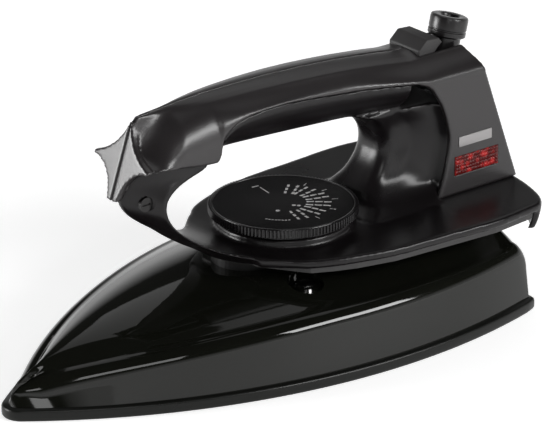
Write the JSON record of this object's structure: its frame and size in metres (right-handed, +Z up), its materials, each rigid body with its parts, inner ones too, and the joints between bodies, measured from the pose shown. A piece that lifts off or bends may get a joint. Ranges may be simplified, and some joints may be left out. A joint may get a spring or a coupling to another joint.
{
  "type": "clothes iron",
  "caption": "Dry clothes iron with a pointed soleplate, gloss hood, bow handle, round temperature dial, pilot lens and swivelling cord inlet.",
  "frame": {"origin": "underside of the soleplate, at the middle of its length and width", "axes": "nose towards -X, heel towards +X, +Z up"},
  "size_m": [0.2515, 0.1224, 0.1188],
  "materials": {
    "sole_coating": "dark satin non-stick coating",
    "element_sheath": "satin stainless sheath",
    "ceramic": "unglazed ceramic",
    "cast_plate": "rough cast",
    "zinc_steel": "bright zinc plate",
    "bimetal": "satin rolled strip",
    "contact_brass": "satin brass",
    "cover_enamel": "high gloss black enamel",
    "screw_chrome": "bright chrome",
    "black_phenolic": "matte black phenolic",
    "strip_grey": "satin dark grey",
    "gloss_moulding": "glossy black moulding",
    "satin_shell": "satin charcoal moulding",
    "dark_screw": "black oxide",
    "dial_moulding": "satin black moulding",
    "dial_face": "glossy black with light grey print",
    "red_lens": "clear red prismatic lens",
    "label_grey": "plain satin grey",
    "lamp_glass": "clear neon lamp glass",
    "block_ceramic": "unglazed ceramic",
    "lead_brown": "silicone sleeve",
    "lead_blue": "silicone sleeve",
    "lead_green": "silicone sleeve",
    "saddle_matte": "matte dark grey",
    "bush_black": "satin black"
  },
  "bodies": {
    "iron": {"soleplate": "sole_coating", "heating_element": "element_sheath", "element_insulators": "ceramic", "pressure_plate": "cast_plate", "mounting_studs": "zinc_steel", "stud_washers": "zinc_steel", "stud_nuts": "zinc_steel", "thermostat_frame": "zinc_steel", "thermostat_screws": "zinc_steel", "insulator_stack": "ceramic", "stack_rivet": "zinc_steel", "bimetal_strip": "bimetal", "fixed_contact": "contact_brass", "thermal_fuse": "ceramic", "fuse_clamp": "zinc_steel", "fuse_screw": "zinc_steel", "cover": "cover_enamel", "cover_screws": "screw_chrome", "heat_spacer": "black_phenolic", "base_plate": "strip_grey", "base_screws": "zinc_steel", "handle_core": "gloss_moulding", "left_shell": "satin_shell", "right_shell": "satin_shell", "shell_screws": "dark_screw", "neck_screw": "dark_screw", "rear_cover": "gloss_moulding", "rear_cover_screw": "dark_screw", "pilot_lens": "red_lens", "label_bar": "label_grey", "neon_lamp": "lamp_glass", "lamp_resistor": "ceramic", "terminal_block": "block_ceramic", "terminal_screws": "contact_brass", "cord_clamp": "black_phenolic", "clamp_screws": "zinc_steel", "live_lead": "lead_brown", "neutral_lead": "lead_blue", "element_lead": "lead_brown", "earth_lead": "lead_green", "earth_screw": "contact_brass", "cord_saddle": "saddle_matte"},
    "dial": {"dial": "dial_moulding", "dial_legend": "dial_face", "dial_clip": "zinc_steel"},
    "spindle": {"thermostat_spindle": "contact_brass"},
    "contact_arm": {"moving_contact": "contact_brass"},
    "cradle": {"swivel_cradle": "bush_black"},
    "bush": {"cord_bush": "bush_black", "bush_clip": "zinc_steel"}
  },
  "joints": [
    {"name": "dial_turn", "type": "hinge", "parent": "iron", "child": "dial", "pos_m": [0.0235, 0, 0.0513], "axis": [0, 0, -1], "range_deg": [0, 290]},
    {"name": "spindle_lift", "type": "slide", "parent": "dial", "child": "spindle", "axis": [0, 0, -1], "range_m": [0, 0.00082]},
    {"name": "contact_press", "type": "hinge", "parent": "iron", "child": "contact_arm", "pos_m": [0.0085, 0, 0.02224], "axis": [0, 1, 0], "range_deg": [0, 3.2]},
    {"name": "swivel_tilt", "type": "hinge", "parent": "iron", "child": "cradle", "pos_m": [0.108, 0, 0.0977], "axis": [0, 1, 0], "range_deg": [-8, 28]},
    {"name": "swivel_turn", "type": "hinge", "parent": "cradle", "child": "bush", "pos_m": [0.108, 0, 0.0977], "axis": [0.2334, 0, 0.9724], "continuous": true}
  ],
  "couplings": [
    {"joint": "spindle_lift", "follows": "dial_turn", "m_per_rad": 0.00015915},
    {"joint": "contact_press", "follows": "dial_turn", "ratio": 0.01061}
  ]
}
